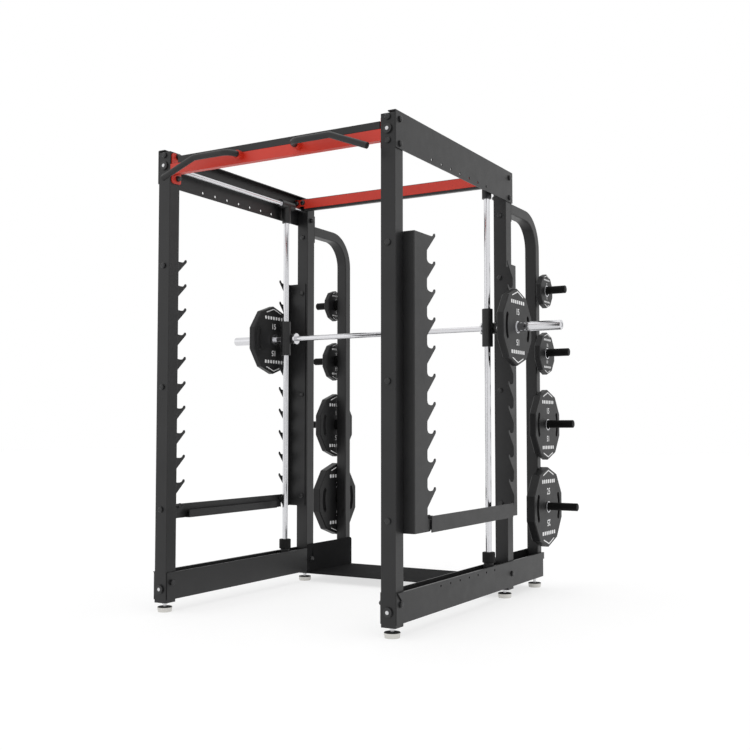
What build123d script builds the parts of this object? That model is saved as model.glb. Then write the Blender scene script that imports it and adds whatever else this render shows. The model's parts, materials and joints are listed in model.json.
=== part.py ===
from build123d import *
import math
import os

# Smith machine with a bar that slides up and down and, on a trolley, fore and aft.
# Millimetres. +X right, front is -Y, +Z up. The sub-parts are drawn about the middle of the four
# posts and saved about a point on the floor under the middle of the whole footprint.

# ---- overall frame ---------------------------------------------------------------------------
FRAME_W = 1300.0
FRAME_D = 1250.0
FRAME_H = 2200.0
FOOTPRINT_MID_Y = 248.2
TUBE = 70.0
TUBE_WALL = 3.0
SHEET = 5.0
POST_X = FRAME_W / 2 - TUBE / 2
POST_Y = FRAME_D / 2 - TUBE / 2
POST_BOTTOM = 44.0
POST_TOP = 2185.0
CAP_T = 4.0
CORNER_R = 3.0
OUT_X = FRAME_W / 2
IN_X = FRAME_W / 2 - TUBE
Y_FRONT = -FRAME_D / 2
Y_REAR = FRAME_D / 2
FRONT_BACK = Y_FRONT + TUBE
REAR_FRONT = Y_REAR - TUBE

# ---- fasteners -------------------------------------------------------------------------------
BOLT_R = 6.0
BOLT_HOLE_R = 6.2
HEAD_R = 13.0
HEAD_H = 9.0
CROWN = 0.62
WASHER_R = 14.5
WASHER_H = 2.0
CAP_NUT_H = 17.0
GRIP = 16.0

# ---- beams -----------------------------------------------------------------------------------
BEAM_BOLT_Z = (2060.0, 2165.0)
TOP_BEAM_Z0 = 2038.0
BASE_BEAM_Z0 = 58.0
BASE_BEAM_Z1 = 188.0
BASE_END_Y = 1032.0
BASE_BOLT_Z = {-1: 138.0, 1: 124.0}
BASE_PAN_BOLT_Z = 124.0
END_PLATE_BOLTS = ((-575.0, 2170.0), (-575.0, 2064.0))
STRIP_T = 6.0
STRIP_Z0 = 153.0
PEG_TOP_R = 7.0
PEG_BASE_R = 5.5
PEG_PITCH = 98.5
PEG_COUNT = 7
PEG_TOP_Y0 = -295.0
PEG_BASE_Y0 = -231.0

# ---- guide rods ------------------------------------------------------------------------------
RAIL_R = 12.5
RAIL_TOP_Z = 2122.0
RAIL_BASE_Z = 108.0
RAIL_BOLT_R = 8.0
RAIL_BOLT_DEPTH = 30.0
RAIL_WASHER_R = 20.0
RAIL_WASHER_H = 8.0
COLUMN_R = 15.0
COLUMN_Z0 = 150.0
COLUMN_Z1 = 2085.0
RUN = 0.05

# ---- trolley and bar at rest -------------------------------------------------------------------
COLUMN_Y = 392.0
BAR_Y = 430.0
BAR_Z = 1367.0
BUSH_R = 23.0
BUSH_HALF = 60.0
STEM_R = 24.0
HOUSING_R = 27.0
HOUSING_HALF = 95.0
BOSS_R = 29.0
SHAFT_R = 14.0
SHAFT_END = 978.0
SLEEVE_R = 24.0
SLEEVE_X0 = 712.0
SLEEVE_FLANGE_R = 33.0
SLEEVE_FLANGE_T = 12.0
SLEEVE_END = 992.0

# ---- hook racks --------------------------------------------------------------------------------
HOOK_COUNT = 11
HOOK_PITCH = 122.2
HOOK_TOP_Z = 1710.0
RACK_X0 = 698.0
RACK_X1 = 703.0
RACK_Z0 = 425.0
RACK_Z1 = 1694.0
FRONT_HOOK_DEPTH = 80.0
FRONT_VALLEY = 116.0
REAR_HOOK_DEPTH = 64.0
REAR_VALLEY = 42.0
RACK_BOLT_Z = (480.0, 1058.5, 1640.0)

GROOVE_W = 2.0
GROOVE_DEPTH = 0.8

# ---- plates ------------------------------------------------------------------------------------
PLATE_SIDES = 10
PLATE_BORE_R = 25.3
BAR_PLATE_R = 193.0
BAR_PLATE_T = 37.0
BAR_PLATE_X = 726.0
HORN_R = 21.0
HORN_Z = (1621.0, 1277.5, 887.5, 441.0)
HORN_END = (808.0, 824.0, 845.0, 864.0)
STORED_R = (93.5, 116.0, 191.0, 216.0)
STORED_T = (30.0, 33.0, 37.0, 48.0)
STORED_FACE_X = 700.0
HORN_PLAY = PLATE_BORE_R - HORN_R - 0.3
SLEEVE_PLAY = PLATE_BORE_R - SLEEVE_R - 0.3

# ---- storage uprights --------------------------------------------------------------------------
UPRIGHT_W = 64.0
UPRIGHT_D = 54.0
UPRIGHT_WALL = 3.0
UPRIGHT_Y = BASE_END_Y - UPRIGHT_D / 2
UPRIGHT_TOP_Z = 2012.0
UPRIGHT_BEND = 165.0
UPRIGHT_PLATE_Z = (1943.0, 2097.0)
UPRIGHT_BOLT_Z = (1966.0, 2080.0)

# ---- safety bars -------------------------------------------------------------------------------
SAFETY_Y0 = -413.0
SAFETY_Y1 = 480.0
SAFETY_Z0 = 420.0
SAFETY_Z1 = 490.0
SAFETY_X0 = 706.0
SAFETY_X1 = 711.0
SAFETY_INNER_X = 681.0

# ---- feet --------------------------------------------------------------------------------------
FOOT_R = 35.0
FOOT_BASE_H = 21.0
FOOT_DISC_H = 3.0
FOOT_STUD_R = 8.0

SIDES = ((-1, "left"), (1, "right"))
SPIN = {"X": (0, 90, 0), "Y": (90, 0, 0), "Z": (0, 0, 0)}


def block(x0, x1, y0, y1, z0, z1, mode=Mode.ADD):
    """Box between two opposite corners."""
    with Locations(((x0 + x1) / 2, (y0 + y1) / 2, (z0 + z1) / 2)):
        Box(abs(x1 - x0), abs(y1 - y0), abs(z1 - z0), mode=mode)


def bar_along(axis, centre, radius, length, mode=Mode.ADD):
    """Cylinder of the given length centred on a point, along a named axis."""
    with Locations(centre):
        Cylinder(radius, length, rotation=SPIN[axis], mode=mode)


def span(axis, a, b, other, radius, mode=Mode.ADD):
    """Cylinder from coordinate a to b along an axis; other holds the two remaining coordinates."""
    mid = (a + b) / 2
    centre = {
        "X": (mid, other[0], other[1]),
        "Y": (other[0], mid, other[1]),
        "Z": (other[0], other[1], mid),
    }[axis]
    bar_along(axis, centre, radius, abs(b - a), mode)


def dome(axis, start, sign, other, wide, narrow, height):
    """Tapered crown of a bolt head, wide at start and narrowing outward."""
    middle = start + sign * height / 2
    centre = {"X": (middle, other[0], other[1]), "Y": (other[0], middle, other[1])}[axis]
    points_out = sign > 0 if axis == "X" else sign < 0
    radii = (wide, narrow) if points_out else (narrow, wide)
    with Locations(centre):
        Cone(radii[0], radii[1], height, rotation=SPIN[axis])


def bolt(axis, face, sign, other, grip=GRIP, height=HEAD_H):
    """Domed bolt head on a washer whose underside sits on a face; sign points outward."""
    seat = face + sign * WASHER_H
    span(axis, face, seat, other, WASHER_R)
    shoulder = seat + sign * height * 0.5
    span(axis, seat, shoulder, other, HEAD_R)
    dome(axis, shoulder, sign, other, HEAD_R, HEAD_R * CROWN, height * 0.5)
    span(axis, face, face - sign * grip, other, BOLT_R)


def groove(axis, start, other, radius):
    """Shallow snap-ring groove cut around a pin, just outside the plate it keeps in place."""
    sign = 1 if start > 0 else -1
    end = start + sign * GROOVE_W
    mid = (start + end) / 2
    with Locations((mid, other[0], other[1])):
        Cylinder(radius + 2, GROOVE_W, rotation=SPIN[axis], mode=Mode.SUBTRACT)
        Cylinder(radius - GROOVE_DEPTH, GROOVE_W, rotation=SPIN[axis])


def save(part, name):
    """Label one sub-part and write its STEP file about the middle of the footprint."""
    placed = part.moved(Location((0, -FOOTPRINT_MID_Y, 0)))
    placed.label = name
    export_step(placed, "parts/" + name + ".step")


os.makedirs("parts", exist_ok=True)

# ---- posts -------------------------------------------------------------------------------------
for sx, side in SIDES:
    for sy, end in ((-1, "front"), (1, "rear")):
        cx = sx * POST_X
        cy = sy * POST_Y
        with BuildPart() as post:
            with BuildSketch(Plane.XY.offset(POST_BOTTOM)):
                with Locations((cx, cy)):
                    RectangleRounded(TUBE, TUBE, CORNER_R)
                    RectangleRounded(TUBE - 2 * TUBE_WALL, TUBE - 2 * TUBE_WALL, 1, mode=Mode.SUBTRACT)
            extrude(amount=POST_TOP - POST_BOTTOM)
            # closed foot plate with the stud hole
            block(cx - 33, cx + 33, cy - 33, cy + 33, POST_BOTTOM, POST_BOTTOM + 6)
            span("Z", POST_BOTTOM - 1, POST_BOTTOM + 7, (cx, cy), FOOT_STUD_R, Mode.SUBTRACT)
            # guide rod bolts pass front to back
            for z in (RAIL_TOP_Z, RAIL_BASE_Z):
                span("Y", cy - TUBE, cy + TUBE, (cx, z), RAIL_BOLT_R, Mode.SUBTRACT)
            # rack bolts pass front to back
            for z in RACK_BOLT_Z:
                span("Y", cy - TUBE, cy + TUBE, (cx, z), BOLT_HOLE_R, Mode.SUBTRACT)
            # side beam bolts
            outer = sx * OUT_X
            for z in BEAM_BOLT_Z + (BASE_BOLT_Z[sy],):
                span("X", outer - sx * 12, outer + sx * 12, (cy, z), BOLT_HOLE_R, Mode.SUBTRACT)
            inner = sx * IN_X
            span("X", inner - 12, inner + 12, (cy, BASE_BOLT_Z[sy]), BOLT_HOLE_R, Mode.SUBTRACT)
            if sy < 0:
                for z in (2073.0, 2173.0):
                    span("Y", Y_FRONT - 5, Y_FRONT + 20, (cx, z), BOLT_HOLE_R, Mode.SUBTRACT)
                for spot in END_PLATE_BOLTS:
                    span("X", inner - 12, inner + 12, spot, BOLT_HOLE_R, Mode.SUBTRACT)
            else:
                span("X", inner - 12, inner + 12, (cy, 2066), BOLT_HOLE_R, Mode.SUBTRACT)
                for z in UPRIGHT_BOLT_Z:
                    span("Y", Y_REAR - 20, Y_REAR + 5, (cx, z), BOLT_HOLE_R, Mode.SUBTRACT)
                span("Y", REAR_FRONT - 5, REAR_FRONT + 20, (cx, 1966), BOLT_HOLE_R, Mode.SUBTRACT)
                for dx in (-21, 21):
                    span("Y", REAR_FRONT - 5, REAR_FRONT + 12, (cx + dx, 2160), BOLT_HOLE_R, Mode.SUBTRACT)
        save(post.part, "post_" + end + "_" + side)

with BuildPart() as post_caps:
    for sx in (-1, 1):
        for sy in (-1, 1):
            cx = sx * POST_X
            cy = sy * POST_Y
            block(cx - TUBE / 2, cx + TUBE / 2, cy - TUBE / 2, cy + TUBE / 2, POST_TOP, POST_TOP + CAP_T)
            inset = TUBE / 2 - TUBE_WALL - 1.5
            block(cx - inset, cx + inset, cy - inset, cy + inset, POST_TOP - 4, POST_TOP)
    fillet(post_caps.edges().filter_by(Axis.Z).filter_by(lambda e: abs(e.length - CAP_T) < 0.01), CORNER_R)
save(post_caps.part, "post_caps")

# ---- top side beams ----------------------------------------------------------------------------
TOP_BEAM_Y0 = Y_FRONT + 0.5
TOP_BEAM_Y1 = Y_REAR + 8
FOLD_IN = 35.0
for sx, side in SIDES:
    with BuildPart() as beam:
        block(sx * OUT_X, sx * (OUT_X + SHEET), TOP_BEAM_Y0, TOP_BEAM_Y1, TOP_BEAM_Z0, FRAME_H)
        block(sx * (OUT_X - FOLD_IN), sx * OUT_X, TOP_BEAM_Y0, TOP_BEAM_Y1, FRAME_H - SHEET, FRAME_H)
        corner = beam.edges().filter_by(Axis.Y).sort_by(Axis.Z)[-2:]
        outer_edge = corner.sort_by(lambda e: abs(e.center().X))[-1]
        fillet(outer_edge, 4)
        for k in range(PEG_COUNT):
            y = PEG_TOP_Y0 + k * PEG_PITCH
            span("X", sx * (OUT_X - 2), sx * (OUT_X + 8), (y, 2059), PEG_TOP_R, Mode.SUBTRACT)
        for sy in (-1, 1):
            for z in BEAM_BOLT_Z:
                span("X", sx * (OUT_X - 2), sx * (OUT_X + 8), (sy * POST_Y, z), BOLT_HOLE_R, Mode.SUBTRACT)
    save(beam.part, "top_side_beam_" + side)

# ---- bottom side beams -------------------------------------------------------------------------
BASE_Y0 = Y_FRONT + 1.5
STRIP_CUT = 35.0
for sx, side in SIDES:
    with BuildPart() as channel:
        # outer wall, running back to the storage upright
        block(sx * OUT_X, sx * (OUT_X + SHEET), BASE_Y0, BASE_END_Y, BASE_BEAM_Z0, BASE_BEAM_Z1)
        # inner wall between the posts
        block(sx * IN_X, sx * (IN_X - SHEET), Y_FRONT + 5, REAR_FRONT - 2, BASE_BEAM_Z0, 186)
        # floor between the posts and behind the rear post
        block(sx * (IN_X - SHEET), sx * (OUT_X + SHEET), FRONT_BACK, REAR_FRONT - 2, BASE_BEAM_Z0, BASE_BEAM_Z0 + SHEET)
        block(sx * (IN_X + 3), sx * (OUT_X + SHEET), Y_REAR, BASE_END_Y, BASE_BEAM_Z0, BASE_BEAM_Z0 + SHEET)
        # stiffening strip along the upper edge with a mitred front end
        with BuildSketch(Plane.YZ.offset(sx * (OUT_X + SHEET))):
            with BuildLine():
                Polyline(
                    (BASE_Y0, BASE_BEAM_Z1),
                    (BASE_END_Y, BASE_BEAM_Z1),
                    (BASE_END_Y, STRIP_Z0),
                    (BASE_Y0 + STRIP_CUT, STRIP_Z0),
                    close=True,
                )
            make_face()
        extrude(amount=sx * STRIP_T)
        for k in range(PEG_COUNT):
            y = PEG_BASE_Y0 + k * PEG_PITCH
            span("X", sx * (OUT_X - 2), sx * (OUT_X + 14), (y, 168.5), PEG_BASE_R, Mode.SUBTRACT)
        for sy in (-1, 1):
            span("X", sx * (OUT_X - 2), sx * (OUT_X + 8), (sy * POST_Y, BASE_BOLT_Z[sy]), BOLT_HOLE_R, Mode.SUBTRACT)
        span("X", sx * (IN_X - 8), sx * (IN_X + 2), (-POST_Y, BASE_BOLT_Z[-1]), BOLT_HOLE_R, Mode.SUBTRACT)
        span("Z", BASE_BEAM_Z0 - 2, BASE_BEAM_Z0 + 8, (sx * POST_X, UPRIGHT_Y), FOOT_STUD_R, Mode.SUBTRACT)
    save(channel.part, "base_side_beam_" + side)

# ---- front crossbeam, its rail and the pull-up handles -------------------------------------------
CROSS_Z0 = 2076.0
CROSS_Z1 = 2126.0
RAIL_X0 = -533.0
RAIL_X1 = 574.0
SOCKET_X = 160.0
SOCKET_Z = 2112.0
SOCKET_R = 19.0
HANDLE_R = 14.0
HANDLE_Y = Y_FRONT - 75.0
with BuildPart() as front_crossbeam:
    half = IN_X - SHEET
    block(-IN_X, IN_X, Y_FRONT + 2, Y_FRONT + 7, CROSS_Z0, CROSS_Z1)
    block(-IN_X, IN_X, Y_FRONT + 2, Y_FRONT + 32, CROSS_Z0, CROSS_Z0 + 4)
    block(-IN_X, IN_X, Y_FRONT + 2, Y_FRONT + 32, CROSS_Z1 - 4, CROSS_Z1)
    for sx in (-1, 1):
        block(sx * half, sx * IN_X, Y_FRONT + 9, Y_FRONT + 74, 2037, 2184)
    end_edges = front_crossbeam.edges().filter_by(Axis.X).filter_by(lambda e: abs(e.length - SHEET) < 0.01)
    fillet(end_edges.filter_by(lambda e: abs(e.center().Z - 2108) > 70), 14)
    for sx in (-1, 1):
        for y, z in END_PLATE_BOLTS:
            span("X", sx * (half - 4), sx * (IN_X + 2), (y, z), BOLT_HOLE_R, Mode.SUBTRACT)
        span("Y", Y_FRONT + 2, Y_FRONT - 28, (sx * SOCKET_X, SOCKET_Z), SOCKET_R)
        span("Y", Y_FRONT + 2, Y_FRONT - 29, (sx * SOCKET_X, SOCKET_Z), HANDLE_R, Mode.SUBTRACT)
save(front_crossbeam.part, "front_crossbeam")

with BuildPart() as front_rail:
    block(RAIL_X0, RAIL_X1, Y_FRONT + 2, Y_FRONT + 24, CROSS_Z1, CROSS_Z1 + 34)
    fillet(front_rail.edges().filter_by(Axis.X), 3)
    block(RAIL_X0 + 4, RAIL_X1 - 4, Y_FRONT + 5, Y_FRONT + 21, CROSS_Z1 + 3, CROSS_Z1 + 31, Mode.SUBTRACT)
save(front_rail.part, "front_crossbeam_rail")

for sx, side in SIDES:
    with BuildPart() as handle:
        with BuildLine() as path:
            FilletPolyline(
                (sx * SOCKET_X, Y_FRONT + 2, SOCKET_Z),
                (sx * SOCKET_X, HANDLE_Y, SOCKET_Z),
                (sx * 372, HANDLE_Y, SOCKET_Z),
                (sx * 556, HANDLE_Y, 2040),
                radius=50,
            )
        with BuildSketch(Plane(origin=path.line @ 0, z_dir=path.line % 0)):
            Circle(HANDLE_R)
            Circle(HANDLE_R - 3, mode=Mode.SUBTRACT)
        sweep(path=path.line)
        # welded end disc
        tip = path.line @ 1
        out = path.line % 1
        with BuildSketch(Plane(origin=tip, z_dir=out)):
            Circle(HANDLE_R)
        extrude(amount=3)
    save(handle.part, "pullup_handle_" + side)

# ---- rear crossbar -----------------------------------------------------------------------------
NOTCH_X = 585.0
NOTCH_Z = 2139.0
with BuildPart() as rear_crossbar:
    block(-648, 648, REAR_FRONT - 28, REAR_FRONT, 2113, 2181)
    fillet(rear_crossbar.edges().filter_by(Axis.X), 3)
    block(-644, 644, REAR_FRONT - 25, REAR_FRONT - 3, 2116, 2178, Mode.SUBTRACT)
    for sx in (-1, 1):
        block(sx * NOTCH_X, sx * 650, REAR_FRONT - 30, REAR_FRONT + 2, 2110, NOTCH_Z, Mode.SUBTRACT)
        for dx in (-21, 21):
            span("Y", REAR_FRONT - 30, REAR_FRONT + 2, (sx * POST_X + dx, 2160), BOLT_HOLE_R, Mode.SUBTRACT)
save(rear_crossbar.part, "rear_crossbar")

with BuildPart() as rear_facing:
    block(-648, 648, REAR_FRONT - 31, REAR_FRONT - 28, 2125, 2177)
    for sx in (-1, 1):
        block(sx * NOTCH_X, sx * 650, REAR_FRONT - 32, REAR_FRONT - 27, 2110, NOTCH_Z, Mode.SUBTRACT)
        for dx in (-21, 21):
            span("Y", REAR_FRONT - 33, REAR_FRONT - 26, (sx * POST_X + dx, 2160), BOLT_HOLE_R, Mode.SUBTRACT)
save(rear_facing.part, "rear_crossbar_facing")

# ---- rear base pan -----------------------------------------------------------------------------
PAN_Y0 = REAR_FRONT + 3
PAN_Y1 = 1036.0
with BuildPart() as pan:
    half = IN_X - 0.5
    block(-half, half, PAN_Y0, PAN_Y1, POST_BOTTOM, POST_BOTTOM + 4)
    for sx in (-1, 1):
        block(sx * half, sx * (half - 4), PAN_Y0, PAN_Y1, POST_BOTTOM, 207)
    top_corners = pan.edges().filter_by(Axis.X).filter_by(lambda e: abs(e.length - 4) < 0.01)
    fillet(top_corners.filter_by(lambda e: e.center().Z > 200), 16)
    for sx in (-1, 1):
        span("X", sx * (half - 6), sx * (half + 2), (POST_Y, BASE_BOLT_Z[1]), BOLT_HOLE_R, Mode.SUBTRACT)
        with BuildSketch(Plane.YZ.offset(sx * (half - 6))):
            with Locations((POST_Y + 22, 146)):
                SlotOverall(62, 10, rotation=90)
        extrude(amount=sx * 8, mode=Mode.SUBTRACT)
save(pan.part, "rear_base_pan")

# ---- hook racks --------------------------------------------------------------------------------


def hook_outline(valley_y, reach, depth, web_y):
    """Closed outline of the toothed plate; reach is +1 when the hooks open toward +Y."""
    scale = depth / FRONT_HOOK_DEPTH

    def at(u, z):
        return (valley_y + reach * u * scale, z)

    start = at(40, RACK_Z1)
    Line((web_y, RACK_Z0), (web_y, RACK_Z1))
    Line((web_y, RACK_Z1), start)
    for k in range(HOOK_COUNT):
        tip = HOOK_TOP_Z - k * HOOK_PITCH
        lip = at(67, tip - 4)
        crest = at(75, tip)
        nose = at(80, tip - 6)
        if k == 0:
            Spline(start, lip, tangents=[(reach, 0), (reach * 0.45, 1)])
        Spline(lip, crest, nose)
        Line(nose, at(79, tip - 13))
        if k < HOOK_COUNT - 1:
            low = tip - HOOK_PITCH
            Line(at(79, tip - 13), at(3, low + 41))
            Spline(at(3, low + 41), at(0, low + 31), tangents=[(-reach * 0.7, -0.7), (0, -1)])
            Line(at(0, low + 31), at(0, low + 8))
            Spline(at(0, low + 8), at(40, low - 15), tangents=[(0, -1), (reach, 0)])
            Spline(at(40, low - 15), at(67, low - 4), tangents=[(reach, 0), (reach * 0.45, 1)])
        else:
            Line(at(79, tip - 13), at(36, RACK_Z0 + 12))
            Spline(at(36, RACK_Z0 + 12), at(14, RACK_Z0), tangents=[(-reach * 0.7, -0.7), (-reach, 0)])
            Line(at(14, RACK_Z0), (web_y, RACK_Z0))


for sx, side in SIDES:
    for sy, end in ((-1, "front"), (1, "rear")):
        reach = -sy
        web_y = FRONT_BACK if sy < 0 else REAR_FRONT
        valley = web_y + reach * (FRONT_VALLEY if sy < 0 else REAR_VALLEY)
        depth = FRONT_HOOK_DEPTH if sy < 0 else REAR_HOOK_DEPTH
        with BuildPart() as rack:
            with BuildSketch(Plane.YZ.offset(sx * RACK_X0)):
                with BuildLine():
                    hook_outline(valley, reach, depth, web_y)
                make_face()
            extrude(amount=sx * (RACK_X1 - RACK_X0))
            block(sx * 592, sx * RACK_X1, web_y, web_y + reach * SHEET, RACK_Z0, RACK_Z1)
            bend = rack.edges().filter_by(Axis.Z).filter_by(
                lambda e: abs(abs(e.center().X) - RACK_X1) < 0.1 and abs(e.center().Y - web_y) < 0.1
            )
            fillet(bend, 4.5)
            for z in RACK_BOLT_Z:
                span("Y", web_y - 8, web_y + 8, (sx * POST_X, z), BOLT_HOLE_R, Mode.SUBTRACT)
        save(rack.part, "hook_rack_" + end + "_" + side)

# ---- storage uprights, horns -------------------------------------------------------------------
for sx, side in SIDES:
    with BuildPart() as upright:
        with BuildLine() as route:
            FilletPolyline(
                (sx * POST_X, Y_REAR + SHEET, UPRIGHT_TOP_Z),
                (sx * POST_X, UPRIGHT_Y, UPRIGHT_TOP_Z),
                (sx * POST_X, UPRIGHT_Y, BASE_BEAM_Z0 + SHEET),
                radius=UPRIGHT_BEND,
            )
        with BuildSketch(Plane(origin=route.line @ 0, x_dir=(1, 0, 0), z_dir=(0, 1, 0))):
            RectangleRounded(UPRIGHT_W, UPRIGHT_D, 6)
            RectangleRounded(UPRIGHT_W - 2 * UPRIGHT_WALL, UPRIGHT_D - 2 * UPRIGHT_WALL, 3, mode=Mode.SUBTRACT)
        sweep(path=route.line)
        # mounting plate on the back of the post
        z0, z1 = UPRIGHT_PLATE_Z
        cx = sx * POST_X
        block(cx - 35, cx + 35, Y_REAR, Y_REAR + SHEET, z0, z1)
        for z in UPRIGHT_BOLT_Z:
            span("Y", Y_REAR - 2, Y_REAR + SHEET + 2, (cx, z), BOLT_HOLE_R, Mode.SUBTRACT)
        # foot plate with the stud hole
        half_w = UPRIGHT_W / 2 - 1
        half_d = UPRIGHT_D / 2 - 1
        block(cx - half_w, cx + half_w, UPRIGHT_Y - half_d, UPRIGHT_Y + half_d, BASE_BEAM_Z0 + SHEET, BASE_BEAM_Z0 + 11)
        span("Z", BASE_BEAM_Z0, BASE_BEAM_Z0 + 12, (cx, UPRIGHT_Y), FOOT_STUD_R, Mode.SUBTRACT)
        for z in (118.0, 171.0):
            span("Y", BASE_END_Y - 8, BASE_END_Y + 4, (cx, z), BOLT_HOLE_R, Mode.SUBTRACT)
    save(upright.part, "storage_upright_" + side)

for sx, side in SIDES:
    with BuildPart() as horns:
        face = POST_X + UPRIGHT_W / 2
        for z, x_end, t in zip(HORN_Z, HORN_END, STORED_T):
            span("X", sx * face, sx * x_end, (UPRIGHT_Y, z), HORN_R)
            span("X", sx * (face + 0.0), sx * (STORED_FACE_X - t - 0.3), (UPRIGHT_Y, z), 32)
        chamfer(horns.edges().filter_by(GeomType.CIRCLE).filter_by(
            lambda e: abs(e.radius - HORN_R) < 0.01 and abs(e.center().X) > 800), 3)
        for z in HORN_Z:
            groove("X", sx * (STORED_FACE_X + 3), (UPRIGHT_Y, z), HORN_R)
    save(horns.part, "plate_horns_" + side)

# ---- horizontal guide rods, end bolts ----------------------------------------------------------
for z, level in ((RAIL_TOP_Z, "top"), (RAIL_BASE_Z, "base")):
    with BuildPart() as rails:
        for sx in (-1, 1):
            span("Y", FRONT_BACK, REAR_FRONT, (sx * POST_X, z), RAIL_R)
            for y, s in ((FRONT_BACK, 1), (REAR_FRONT, -1)):
                span("Y", y - s, y + s * RAIL_BOLT_DEPTH, (sx * POST_X, z), RAIL_BOLT_R, Mode.SUBTRACT)
    save(rails.part, "guide_rails_" + level)

with BuildPart() as rail_washers:
    for sx in (-1, 1):
        for z in (RAIL_TOP_Z, RAIL_BASE_Z):
            for sy in (-1, 1):
                face = sy * FRAME_D / 2
                span("Y", face, face + sy * RAIL_WASHER_H, (sx * POST_X, z), RAIL_WASHER_R)
                span("Y", face, face + sy * (RAIL_WASHER_H - 2), (sx * POST_X, z), RAIL_WASHER_R + 1.5)
                span("Y", face, face + sy * RAIL_WASHER_H, (sx * POST_X, z), RAIL_BOLT_R, Mode.SUBTRACT)
save(rail_washers.part, "rail_washers")

with BuildPart() as rail_bolts:
    for sx in (-1, 1):
        for z in (RAIL_TOP_Z, RAIL_BASE_Z):
            for sy in (-1, 1):
                face = sy * (FRAME_D / 2 + RAIL_WASHER_H)
                reach_in = sy * (FRAME_D / 2 - TUBE - RAIL_BOLT_DEPTH)
                span("Y", reach_in, face + sy * 1.5, (sx * POST_X, z), RAIL_BOLT_R)
                span("Y", face, face + sy * 3, (sx * POST_X, z), RAIL_BOLT_R * 0.8)
save(rail_bolts.part, "rail_end_bolts")

# ---- feet --------------------------------------------------------------------------------------
FOOT_SPOTS = [(sx * POST_X, y) for sx in (-1, 1) for y in (-POST_Y, POST_Y, UPRIGHT_Y)]
with BuildPart() as foot_bases:
    for x, y in FOOT_SPOTS:
        with Locations((x, y, FOOT_BASE_H / 2)):
            Cone(FOOT_R - 3, FOOT_R, FOOT_BASE_H)
save(foot_bases.part, "foot_bases")

with BuildPart() as foot_discs:
    for x, y in FOOT_SPOTS:
        span("Z", FOOT_BASE_H, FOOT_BASE_H + FOOT_DISC_H, (x, y), FOOT_R - 1)
    chamfer(foot_discs.edges().filter_by(GeomType.CIRCLE).filter_by(lambda e: e.center().Z > FOOT_BASE_H + 1), 1)
save(foot_discs.part, "foot_discs")

with BuildPart() as foot_studs:
    for x, y in FOOT_SPOTS:
        top = POST_BOTTOM + 20 if y < UPRIGHT_Y else BASE_BEAM_Z0 + 20
        span("Z", FOOT_BASE_H + FOOT_DISC_H, top, (x, y), FOOT_STUD_R)
        nut_z = POST_BOTTOM if y < UPRIGHT_Y else BASE_BEAM_Z0
        with BuildSketch(Plane.XY.offset(nut_z - 9)):
            with Locations((x, y)):
                RegularPolygon(14, 6)
        extrude(amount=9)
save(foot_studs.part, "foot_studs")

# ---- bolt groups -------------------------------------------------------------------------------
with BuildPart() as bolts_posts:
    for sx in (-1, 1):
        cx = sx * POST_X
        # long bolts through the front posts into the front racks
        for z in RACK_BOLT_Z:
            bolt("Y", Y_FRONT, -1, (cx, z), TUBE + SHEET + 4)
            bolt("Y", REAR_FRONT - SHEET, -1, (cx, z), GRIP)
            with BuildSketch(Plane.XZ.offset(-(FRONT_BACK + SHEET))):
                with Locations((cx, z)):
                    RegularPolygon(10, 6)
            extrude(amount=-8)
        for z in (2073.0, 2173.0):
            bolt("Y", Y_FRONT, -1, (cx, z))
        bolt("Y", REAR_FRONT, -1, (cx, 1966))
save(bolts_posts.part, "bolts_racks")

with BuildPart() as bolts_beams:
    for sx in (-1, 1):
        for sy in (-1, 1):
            for z in BEAM_BOLT_Z:
                bolt("X", sx * (OUT_X + SHEET), sx, (sy * POST_Y, z), 12)
            bolt("X", sx * (OUT_X + SHEET), sx, (sy * POST_Y, BASE_BOLT_Z[sy]), 12)
        bolt("X", sx * (IN_X - SHEET), -sx, (-POST_Y, BASE_BOLT_Z[-1]), 12, CAP_NUT_H)
        bolt("X", sx * (IN_X - 4.5), -sx, (POST_Y, BASE_BOLT_Z[1]), 12, CAP_NUT_H)
        bolt("X", sx * IN_X, -sx, (POST_Y, 2066), 8, CAP_NUT_H)
        for y, z in END_PLATE_BOLTS:
            bolt("X", sx * (IN_X - SHEET), -sx, (y, z), 12, CAP_NUT_H)
save(bolts_beams.part, "bolts_side_beams")

with BuildPart() as bolts_rear:
    for sx in (-1, 1):
        for dx in (-21, 21):
            bolt("Y", REAR_FRONT - 31, -1, (sx * POST_X + dx, 2160), 38)
        for z in UPRIGHT_BOLT_Z:
            if z > UPRIGHT_TOP_Z:
                bolt("Y", Y_REAR + SHEET, 1, (sx * POST_X, z), 12)
            else:
                span("Y", Y_REAR - 12, Y_REAR + SHEET, (sx * POST_X, z), BOLT_R)
        for z in (118.0, 171.0):
            bolt("Y", BASE_END_Y, 1, (sx * POST_X, z), 5)
save(bolts_rear.part, "bolts_rear")

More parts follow.
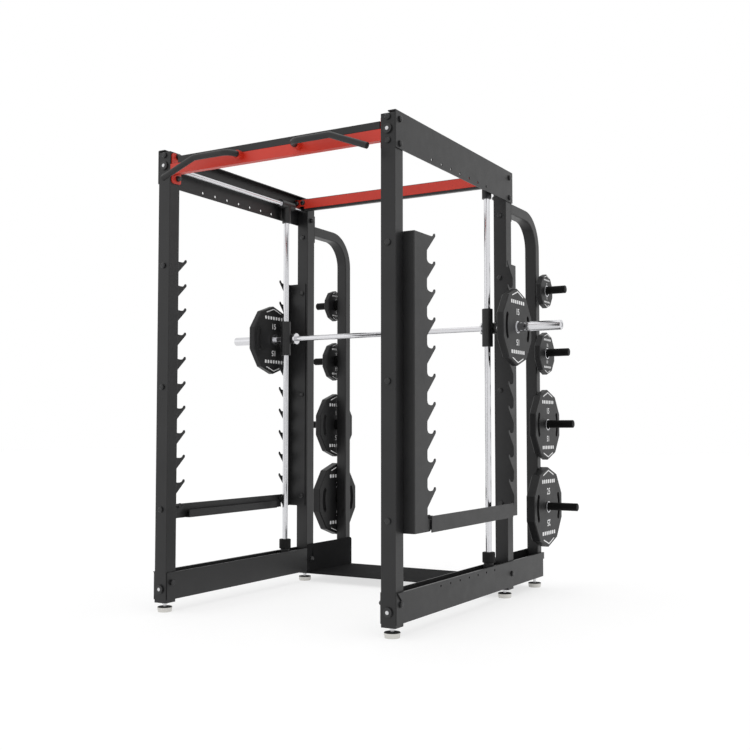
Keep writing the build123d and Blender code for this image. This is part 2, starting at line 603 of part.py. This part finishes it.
# ---- fore-aft trolley --------------------------------------------------------------------------
for sx, side in SIDES:
    cx = sx * POST_X
    with BuildPart() as top_carriage:
        span("Y", COLUMN_Y - BUSH_HALF, COLUMN_Y + BUSH_HALF, (cx, RAIL_TOP_Z), BUSH_R)
        span("Z", 2020, RAIL_TOP_Z, (cx, COLUMN_Y), STEM_R)
        span("Y", COLUMN_Y - 70, COLUMN_Y + 70, (cx, RAIL_TOP_Z), RAIL_R + RUN, Mode.SUBTRACT)
        span("Z", 2010, COLUMN_Z1, (cx, COLUMN_Y), COLUMN_R, Mode.SUBTRACT)
    save(top_carriage.part, "top_carriage_" + side)

    with BuildPart() as base_carriage:
        span("Y", COLUMN_Y - BUSH_HALF, COLUMN_Y + BUSH_HALF, (cx, RAIL_BASE_Z), BUSH_R)
        block(cx - 22, cx + 22, COLUMN_Y - 38, COLUMN_Y + 38, RAIL_BASE_Z, 160)
        span("Z", 155, 199, (cx, COLUMN_Y), 25)
        span("Y", COLUMN_Y - 70, COLUMN_Y + 70, (cx, RAIL_BASE_Z), RAIL_R + RUN, Mode.SUBTRACT)
        span("Z", COLUMN_Z0, 210, (cx, COLUMN_Y), COLUMN_R, Mode.SUBTRACT)
    save(base_carriage.part, "base_carriage_" + side)

    with BuildPart() as column:
        span("Z", COLUMN_Z0, COLUMN_Z1, (cx, COLUMN_Y), COLUMN_R)
    save(column.part, "guide_column_" + side)

with BuildPart() as bumpers:
    for sx in (-1, 1):
        span("Z", 199, 251, (sx * POST_X, COLUMN_Y), 32)
    fillet(bumpers.edges().filter_by(GeomType.CIRCLE), 4)
    for sx in (-1, 1):
        span("Z", 190, 260, (sx * POST_X, COLUMN_Y), COLUMN_R, Mode.SUBTRACT)
save(bumpers.part, "column_bumpers")

with BuildPart() as end_rings:
    for sx in (-1, 1):
        for z in (RAIL_TOP_Z, RAIL_BASE_Z):
            for s in (-1, 1):
                a = COLUMN_Y + s * BUSH_HALF
                span("Y", a, a + s * 4, (sx * POST_X, z), 19)
                span("Y", a - s, a + s * 5, (sx * POST_X, z), RAIL_R + RUN, Mode.SUBTRACT)
save(end_rings.part, "bushing_end_rings")

# ---- lifted bar --------------------------------------------------------------------------------
for sx, side in SIDES:
    cx = sx * POST_X
    with BuildPart() as housing:
        span("Z", BAR_Z - HOUSING_HALF, BAR_Z + HOUSING_HALF, (cx, COLUMN_Y), HOUSING_R)
        rims = housing.edges().filter_by(GeomType.CIRCLE)
        fillet(rims, 3)
        span("X", sx * 584, sx * 652, (BAR_Y, BAR_Z), BOSS_R)
        span("Z", BAR_Z - 100, BAR_Z + 100, (cx, COLUMN_Y), COLUMN_R + RUN, Mode.SUBTRACT)
        span("X", sx * 580, sx * 656, (BAR_Y, BAR_Z), SHAFT_R, Mode.SUBTRACT)
    save(housing.part, "bearing_housing_" + side)

with BuildPart() as shaft:
    span("X", -SHAFT_END, SHAFT_END, (BAR_Y, BAR_Z), SHAFT_R)
save(shaft.part, "bar_shaft")

with BuildPart() as collars:
    for sx in (-1, 1):
        span("X", sx * 568, sx * 576, (BAR_Y, BAR_Z), 31)
        span("X", sx * 576, sx * 584, (BAR_Y, BAR_Z), 24)
        span("X", sx * 652, sx * 664, (BAR_Y, BAR_Z), 20)
    for sx in (-1, 1):
        span("X", sx * 560, sx * 670, (BAR_Y, BAR_Z), SHAFT_R, Mode.SUBTRACT)
save(collars.part, "bar_collars")

for sx, side in SIDES:
    with BuildPart() as sleeve:
        span("X", sx * SLEEVE_X0, sx * (SLEEVE_X0 + SLEEVE_FLANGE_T), (BAR_Y, BAR_Z), SLEEVE_FLANGE_R)
        span("X", sx * SLEEVE_X0, sx * SLEEVE_END, (BAR_Y, BAR_Z), SLEEVE_R)
        rim = sleeve.edges().filter_by(GeomType.CIRCLE).sort_by(lambda e: abs(e.center().X))[-1]
        chamfer(rim, 2)
        groove("X", sx * (BAR_PLATE_X + BAR_PLATE_T + 3), (BAR_Y, BAR_Z), SLEEVE_R)
        span("X", sx * (SLEEVE_X0 - 5), sx * (SHAFT_END + 0.5), (BAR_Y, BAR_Z), SHAFT_R + RUN, Mode.SUBTRACT)
        span("X", sx * (SLEEVE_END - 4), sx * (SLEEVE_END + 5), (BAR_Y, BAR_Z), 12, Mode.SUBTRACT)
        span("X", sx * (SLEEVE_END - 4), sx * (SLEEVE_END - 1), (BAR_Y, BAR_Z), 8)
    save(sleeve.part, "bar_sleeve_" + side)


def decagon_plate(sx, face_x, thickness, radius, centre_y, centre_z, slots):
    """Ten-sided plate lying in YZ with its outer face at face_x and its corners up and down."""
    inner_x = face_x - thickness
    with BuildSketch(Plane.YZ.offset(sx * inner_x)) as outline:
        with Locations((centre_y, centre_z)):
            RegularPolygon(radius, PLATE_SIDES, rotation=90 - 36)
            Circle(PLATE_BORE_R, mode=Mode.SUBTRACT)
            if slots:
                for a in (0, 180):
                    arc = Edge.make_circle(radius * 0.735, start_angle=a - 22, end_angle=a + 22)
                    SlotArc(arc, radius * 0.14, mode=Mode.SUBTRACT)
    extrude(outline.sketch, amount=sx * thickness)


# the plates carried on the bar sleeves
for sx, side in SIDES:
    with BuildPart() as plate:
        decagon_plate(sx, BAR_PLATE_X + BAR_PLATE_T, BAR_PLATE_T, BAR_PLATE_R, BAR_Y, BAR_Z - SLEEVE_PLAY, True)
        rims = plate.faces().filter_by(Axis.X).sort_by(Axis.X)[0].outer_wire().edges()
        rims += plate.faces().filter_by(Axis.X).sort_by(Axis.X)[-1].outer_wire().edges()
        chamfer(rims, 5)
    save(plate.part, "bar_plate_" + side)

# the stored plates, largest at the bottom
for sx, side in SIDES:
    for k in range(4):
        with BuildPart() as stored:
            centre_z = HORN_Z[k] - HORN_PLAY
            decagon_plate(sx, STORED_FACE_X, STORED_T[k], STORED_R[k], UPRIGHT_Y, centre_z, k > 1)
            rims = stored.faces().filter_by(Axis.X).sort_by(Axis.X)[0].outer_wire().edges()
            rims += stored.faces().filter_by(Axis.X).sort_by(Axis.X)[-1].outer_wire().edges()
            chamfer(rims, 4)
        save(stored.part, "stored_plate_" + str(k + 1) + "_" + side)

# ---- safety bars -------------------------------------------------------------------------------
PIN_R = 9.0
FRONT_POCKET_Y = FRONT_BACK + FRONT_VALLEY + 36
REAR_POCKET_Y = REAR_FRONT - REAR_VALLEY - 31
LOW_TIP_Z = HOOK_TOP_Z - (HOOK_COUNT - 1) * HOOK_PITCH
PIN_Z = LOW_TIP_Z - 15 + PIN_R + 0.5
for sx, side in SIDES:
    with BuildPart() as safety:
        block(sx * SAFETY_X0, sx * SAFETY_X1, SAFETY_Y0, SAFETY_Y1, SAFETY_Z0, SAFETY_Z1)
        block(sx * SAFETY_INNER_X, sx * SAFETY_X1, -340, 405, SAFETY_Z0, SAFETY_Z0 + SHEET)
        block(sx * SAFETY_INNER_X, sx * (SAFETY_INNER_X + SHEET), -340, 405, SAFETY_Z0, SAFETY_Z0 + 38)
        for y in (FRONT_POCKET_Y, REAR_POCKET_Y):
            span("X", sx * 688, sx * (SAFETY_X0 + 2), (y, PIN_Z), PIN_R)
            span("X", sx * 688, sx * 694, (y, PIN_Z), PIN_R + 3)
    save(safety.part, "safety_bar_" + side)
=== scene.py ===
import json
import math

import bmesh
import bpy
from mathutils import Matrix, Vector


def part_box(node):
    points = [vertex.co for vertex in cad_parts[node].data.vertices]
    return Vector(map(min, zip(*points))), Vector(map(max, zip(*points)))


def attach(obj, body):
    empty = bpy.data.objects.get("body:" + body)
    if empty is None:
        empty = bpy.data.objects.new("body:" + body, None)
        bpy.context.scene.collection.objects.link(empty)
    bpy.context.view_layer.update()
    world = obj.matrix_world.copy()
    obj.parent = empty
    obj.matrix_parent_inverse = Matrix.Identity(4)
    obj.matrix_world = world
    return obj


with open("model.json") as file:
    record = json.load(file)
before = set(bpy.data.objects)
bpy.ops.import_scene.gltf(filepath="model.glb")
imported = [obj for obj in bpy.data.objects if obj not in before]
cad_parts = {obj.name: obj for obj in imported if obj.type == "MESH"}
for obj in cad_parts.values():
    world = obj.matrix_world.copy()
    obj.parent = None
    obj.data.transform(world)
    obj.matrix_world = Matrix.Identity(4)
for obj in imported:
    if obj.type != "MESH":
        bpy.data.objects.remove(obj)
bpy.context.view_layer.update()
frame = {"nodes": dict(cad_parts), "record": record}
nodes = frame["nodes"]


# ---- shader helpers --------------------------------------------------------------------------------
def new_material(name):
    mat = bpy.data.materials.new(name)
    mat.use_nodes = True
    tree = mat.node_tree
    return mat, tree, tree.nodes["Principled BSDF"]


def noise(tree, coords, scale, detail=3.0, rough=0.5):
    node = tree.nodes.new("ShaderNodeTexNoise")
    node.inputs["Scale"].default_value = scale
    node.inputs["Detail"].default_value = detail
    node.inputs["Roughness"].default_value = rough
    tree.links.new(coords, node.inputs["Vector"])
    return node.outputs["Fac"]


def spread(tree, value, low, high):
    """Maps a 0..1 value onto low..high."""
    node = tree.nodes.new("ShaderNodeMapRange")
    node.inputs["To Min"].default_value = low
    node.inputs["To Max"].default_value = high
    tree.links.new(value, node.inputs["Value"])
    return node.outputs["Result"]


def ramp(tree, value, stops):
    """Maps a 0..1 value onto colours: stops are (position, rgb) pairs."""
    node = tree.nodes.new("ShaderNodeValToRGB")
    elements = node.color_ramp.elements
    while len(elements) < len(stops):
        elements.new(0.5)
    for element, (position, rgb) in zip(elements, stops):
        element.position = position
        element.color = (*rgb, 1.0)
    tree.links.new(value, node.inputs["Fac"])
    return node.outputs["Color"]


def bump(tree, bsdf, height, strength, distance):
    node = tree.nodes.new("ShaderNodeBump")
    node.inputs["Strength"].default_value = strength
    node.inputs["Distance"].default_value = distance
    tree.links.new(height, node.inputs["Height"])
    tree.links.new(node.outputs["Normal"], bsdf.inputs["Normal"])


def object_coords(tree):
    coords = tree.nodes.new("ShaderNodeTexCoord")
    mapping = tree.nodes.new("ShaderNodeMapping")
    tree.links.new(coords.outputs["Object"], mapping.inputs["Vector"])
    return mapping.outputs["Vector"]


# ---- materials -------------------------------------------------------------------------------------
PEEL_DEPTH = 0.0006
SCRATCH_DEPTH = 0.0004


def coated(name, dark, light, rough, peel=0.12, grain=900.0, specular=0.5):
    """Powder coat, paint or plastic: cloudy colour, orange peel and a slightly uneven gloss."""
    mat, tree, bsdf = new_material(name)
    at = object_coords(tree)
    clouds = noise(tree, at, scale=5.0, detail=4.0)
    tree.links.new(ramp(tree, clouds, ((0.3, dark), (0.7, light))), bsdf.inputs["Base Color"])
    smudge = noise(tree, at, scale=18.0, detail=5.0, rough=0.6)
    tree.links.new(spread(tree, smudge, *rough), bsdf.inputs["Roughness"])
    bump(tree, bsdf, noise(tree, at, scale=grain, detail=2.0), peel, PEEL_DEPTH)
    bsdf.inputs["Specular IOR Level"].default_value = specular
    return mat


def metal(name, dark, light, rough, scratch=0.03):
    """Plated or bright steel: cloudy colour, uneven gloss and faint scratches."""
    mat, tree, bsdf = new_material(name)
    marks = noise(tree, object_coords(tree), scale=60.0, detail=4.0, rough=0.6)
    tree.links.new(ramp(tree, marks, ((0.25, dark), (0.75, light))), bsdf.inputs["Base Color"])
    tree.links.new(spread(tree, marks, *rough), bsdf.inputs["Roughness"])
    bump(tree, bsdf, marks, scratch, SCRATCH_DEPTH)
    bsdf.inputs["Metallic"].default_value = 1.0
    return mat


BLACK = coated("black_powder_coat", (0.0060, 0.0060, 0.0065), (0.0100, 0.0100, 0.0105),
               rough=(0.36, 0.50), specular=0.43)
RED = coated("red_powder_coat", (0.46, 0.018, 0.006), (0.54, 0.027, 0.010), rough=(0.38, 0.48))
PLATE = coated("plate_black", (0.0050, 0.0050, 0.0054), (0.0085, 0.0085, 0.0090),
               rough=(0.38, 0.54), peel=0.18, grain=500.0, specular=0.30)
CAPS = coated("cap_plastic", (0.008, 0.008, 0.008), (0.013, 0.013, 0.013),
              rough=(0.5, 0.6), peel=0.1, grain=1500.0)
RUBBER = coated("rubber_black", (0.007, 0.007, 0.007), (0.013, 0.013, 0.013),
                rough=(0.62, 0.75), peel=0.2, grain=1200.0, specular=0.15)
OXIDE = coated("bolt_black_oxide", (0.007, 0.007, 0.0075), (0.013, 0.013, 0.014),
               rough=(0.30, 0.42), peel=0.05, grain=700.0)
SOLE = coated("foot_pale_plastic", (0.55, 0.54, 0.51), (0.66, 0.65, 0.62),
              rough=(0.45, 0.6), peel=0.1, grain=1000.0)
MATTE = coated("base_pan_matte", (0.011, 0.011, 0.0115), (0.017, 0.017, 0.0175),
               rough=(0.75, 0.88), peel=0.2, grain=700.0, specular=0.04)
HORN = coated("horn_black_sleeve", (0.0035, 0.0035, 0.0035), (0.0060, 0.0060, 0.0060),
              rough=(0.45, 0.6), peel=0.1, grain=900.0, specular=0.10)
CHROME = metal("chrome", (0.63, 0.63, 0.65), (0.70, 0.70, 0.72), rough=(0.09, 0.13), scratch=0.004)
ZINC = metal("zinc_plate", (0.55, 0.55, 0.56), (0.72, 0.72, 0.73), rough=(0.22, 0.34))
WHITE = coated("marking_white", (0.72, 0.72, 0.72), (0.85, 0.85, 0.85), rough=(0.45, 0.6), peel=0.05)

FINISH = {
    "black_powder": BLACK,
    "red_powder": RED,
    "black_plastic": CAPS,
    "chrome": CHROME,
    "bolt_steel": ZINC,
    "black_steel": OXIDE,
    "pale_plastic": SOLE,
    "bumper_rubber": RUBBER,
    "plate_iron": PLATE,
}
OWN_FINISH = {"rear_base_pan": MATTE, "plate_horns_left": HORN, "plate_horns_right": HORN}

for part in frame["record"]["subparts"]:
    finish = OWN_FINISH.get(part["node"], FINISH[part["material_slot"]])
    for slot in nodes[part["node"]].material_slots:
        slot.material = finish


# ---- markings and hub rings on the plates ------------------------------------------------------------
def mesh_object(name, bm, material):
    """Puts bm into the scene as an object of one material."""
    mesh = bpy.data.meshes.new(name)
    bm.to_mesh(mesh)
    bm.free()
    mesh.materials.append(material)
    obj = bpy.data.objects.new(name, mesh)
    bpy.context.scene.collection.objects.link(obj)
    return obj


# lengths in metres
MARK_HEIGHT = 0.0003
MIN_STROKE = 0.0035
# shares of the plate's radius
CHEVRON_TIP = 0.93
CHEVRON_REACH = 0.36
CHEVRON_STROKE = 0.028
DASH_ROW = 0.92
DASH_PLACE = 0.645
DASH_HEIGHT = 0.095
NUMBER_PLACE = 0.40
NUMBER_HEIGHT = 0.16
# shares of the distance from dash to dash
DASH_WIDTH = 0.60
DASH_CUT = 0.1
# shares of the font's size and of a digit's height
DIGIT_SHARE = 0.72
DIGIT_SWELL = 0.02
CHEVRON_SLOPE = math.tan(math.radians(18))
DASHES = 7


def raised_shape(bm, points, face_x, out):
    """Adds a thin slab with the outline points, (y, z) pairs, standing on a plate's face towards out."""
    low_ring = [bm.verts.new((face_x, y, z)) for y, z in points]
    top_ring = [bm.verts.new((face_x + out * MARK_HEIGHT, y, z)) for y, z in points]
    bm.faces.new(top_ring)
    bm.faces.new(low_ring)
    for i in range(len(points)):
        j = (i + 1) % len(points)
        bm.faces.new((low_ring[i], low_ring[j], top_ring[j], top_ring[i]))


def clipped_bar(width, height, cut):
    """Outline of a short bar with clipped corners, about the origin."""
    w, h = width / 2, height / 2
    return [(-w + cut, -h), (w - cut, -h), (w, -h + cut), (w, h - cut),
            (w - cut, h), (-w + cut, h), (-w, h - cut), (-w, -h + cut)]


def moved(outline, u, v):
    return [(a + u, b + v) for a, b in outline]


def number_outline(text, height):
    """Flat triangles of a number in the plain built-in face, centred, as lists of (u, v) corners."""
    curve = bpy.data.curves.new("number", "FONT")
    curve.body = text
    curve.size = height / DIGIT_SHARE
    curve.align_x = "CENTER"
    curve.resolution_u = 3
    curve.offset = height * DIGIT_SWELL
    holder = bpy.data.objects.new("number", curve)
    bpy.context.scene.collection.objects.link(holder)
    bpy.context.view_layer.update()
    evaluated = holder.evaluated_get(bpy.context.evaluated_depsgraph_get())
    mesh = bpy.data.meshes.new_from_object(evaluated)
    corners = [(vert.co.x, vert.co.y - height / 2) for vert in mesh.vertices]
    shapes = [[corners[i] for i in face.vertices] for face in mesh.polygons]
    bpy.data.objects.remove(holder)
    bpy.data.meshes.remove(mesh)
    bpy.data.curves.remove(curve)
    return shapes


def chevron(radius):
    tip = radius * CHEVRON_TIP
    reach = radius * CHEVRON_REACH
    foot = tip - reach * CHEVRON_SLOPE
    stroke = max(radius * CHEVRON_STROKE, MIN_STROKE)
    return [(-reach, foot), (0, tip), (reach, foot),
            (reach, foot - stroke), (0, tip - stroke), (-reach, foot - stroke)]


def dash_row(radius):
    pitch = radius * DASH_ROW / DASHES
    dash = clipped_bar(pitch * DASH_WIDTH, radius * DASH_HEIGHT, pitch * DASH_CUT)
    return [moved(dash, (k - (DASHES - 1) / 2) * pitch, radius * DASH_PLACE) for k in range(DASHES)]


def plate_marks(node, number):
    """White chevron, row of dashes and number, twice on each face, the second turned half round."""
    lo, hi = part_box(node)
    cy, cz = (lo.y + hi.y) / 2, (lo.z + hi.z) / 2
    radius = (hi.z - lo.z) / 2
    digits = number_outline(number, radius * NUMBER_HEIGHT)
    shapes = [chevron(radius)] + dash_row(radius)
    shapes += [moved(digit, 0, radius * NUMBER_PLACE) for digit in digits]
    bm = bmesh.new()
    for face_x, out in ((hi.x, 1), (lo.x, -1)):
        for turn in (1, -1):
            for shape in shapes:
                raised_shape(bm, [(cy + out * turn * u, cz + turn * v) for u, v in shape], face_x, out)
    bmesh.ops.recalc_face_normals(bm, faces=bm.faces)
    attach(mesh_object(node + "_marks", bm, WHITE), node)


RING_INNER_R = 0.0254
RING_OUTER_R = 0.0304
RING_BEVEL = 0.0008
RING_SHOULDER = 0.0006
RING_PROUD = 0.0012
RING_SUNK = 0.002
RING_STEPS = 72
# (radius, height above the plate's face)
RING_PROFILE = (
    (RING_INNER_R, -RING_SUNK),
    (RING_INNER_R, RING_SHOULDER),
    (RING_INNER_R + RING_BEVEL, RING_PROUD),
    (RING_OUTER_R - RING_BEVEL, RING_PROUD),
    (RING_OUTER_R, RING_SHOULDER),
    (RING_OUTER_R, -RING_SUNK),
)


def hub_ring(node):
    """Bright steel ring pressed into the plate round its bore, standing just proud of the outer face."""
    lo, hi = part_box(node)
    cy, cz = (lo.y + hi.y) / 2, (lo.z + hi.z) / 2
    out = 1 if hi.x > 0 else -1
    face_x = hi.x if hi.x > 0 else lo.x
    turns = [2 * math.pi * i / RING_STEPS for i in range(RING_STEPS)]
    bm = bmesh.new()
    rings = [[bm.verts.new((face_x + out * x, cy + r * math.cos(t), cz + r * math.sin(t))) for t in turns]
             for r, x in RING_PROFILE]
    for a, b in zip(rings, rings[1:] + rings[:1]):
        for i in range(RING_STEPS):
            j = (i + 1) % RING_STEPS
            bm.faces.new((a[i], a[j], b[j], b[i]))
    bmesh.ops.recalc_face_normals(bm, faces=bm.faces)
    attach(mesh_object(node + "_hub_ring", bm, CHROME), node)


BAR_NUMBER = "15"
STORED_NUMBERS = ("5", "10", "15", "25")
for side in ("left", "right"):
    plates = [("bar_plate_" + side, BAR_NUMBER)]
    plates += [("stored_plate_%d_%s" % (k, side), number) for k, number in enumerate(STORED_NUMBERS, 1)]
    for name, number in plates:
        plate_marks(name, number)
        hub_ring(name)

# ---- floor, light, camera --------------------------------------------------------------------------
FLOOR_REACH = 30.0
FLOOR_DROP = 0.0005
FLOOR_GREYS = ((0.31, 0.31, 0.31), (0.33, 0.33, 0.33))
FLOOR_GLOW = 0.68

floor_mat, tree, bsdf = new_material("floor_white")
clouds = noise(tree, object_coords(tree), scale=2.0)
floor_colour = ramp(tree, clouds, ((0.2, FLOOR_GREYS[0]), (0.8, FLOOR_GREYS[1])))
tree.links.new(floor_colour, bsdf.inputs["Base Color"])
bsdf.inputs["Roughness"].default_value = 0.9
bsdf.inputs["Specular IOR Level"].default_value = 0.1
bsdf.inputs["Emission Color"].default_value = (1.0, 1.0, 1.0, 1.0)
bsdf.inputs["Emission Strength"].default_value = FLOOR_GLOW

bm = bmesh.new()
bmesh.ops.create_grid(bm, x_segments=4, y_segments=4, size=FLOOR_REACH)
floor = mesh_object("floor", bm, floor_mat)
floor.location.z = -FLOOR_DROP

world = bpy.data.worlds.new("studio")
world.use_nodes = True
backdrop = world.node_tree.nodes["Background"]
backdrop.inputs["Color"].default_value = (1.0, 1.0, 1.0, 1.0)
backdrop.inputs["Strength"].default_value = 1.0
bpy.context.scene.world = world


def softbox(name, place, target, size, power):
    light = bpy.data.lights.new(name, "AREA")
    light.shape = "RECTANGLE"
    light.size, light.size_y = size
    light.energy = power
    obj = bpy.data.objects.new(name, light)
    bpy.context.scene.collection.objects.link(obj)
    obj.location = place
    obj.rotation_euler = (Vector(target) - Vector(place)).to_track_quat("-Z", "Y").to_euler()


softbox("key", place=(5.0, -2.5, 4.5), target=(0.0, 0.0, 1.2), size=(3.0, 3.0), power=10.0)
softbox("fill", place=(-4.5, -4.5, 3.0), target=(0.0, 0.0, 1.0), size=(4.0, 4.0), power=12.0)
softbox("top", place=(0.0, 0.0, 6.0), target=(0.0, 0.0, 0.0), size=(4.0, 4.0), power=20.0)

CAMERA_PLACE = (2.7179, -4.6037, 0.8583)
CAMERA_TILT = 93.012
CAMERA_PAN = 30.127

cam_data = bpy.data.cameras.new("camera")
cam_data.sensor_width = 36.0
cam_data.lens = 49.58
cam_data.clip_end = 100.0
camera = bpy.data.objects.new("camera", cam_data)
bpy.context.scene.collection.objects.link(camera)
camera.location = CAMERA_PLACE
camera.rotation_euler = (math.radians(CAMERA_TILT), 0.0, math.radians(CAMERA_PAN))
bpy.context.scene.camera = camera
bpy.context.scene.view_settings.view_transform = "Standard"
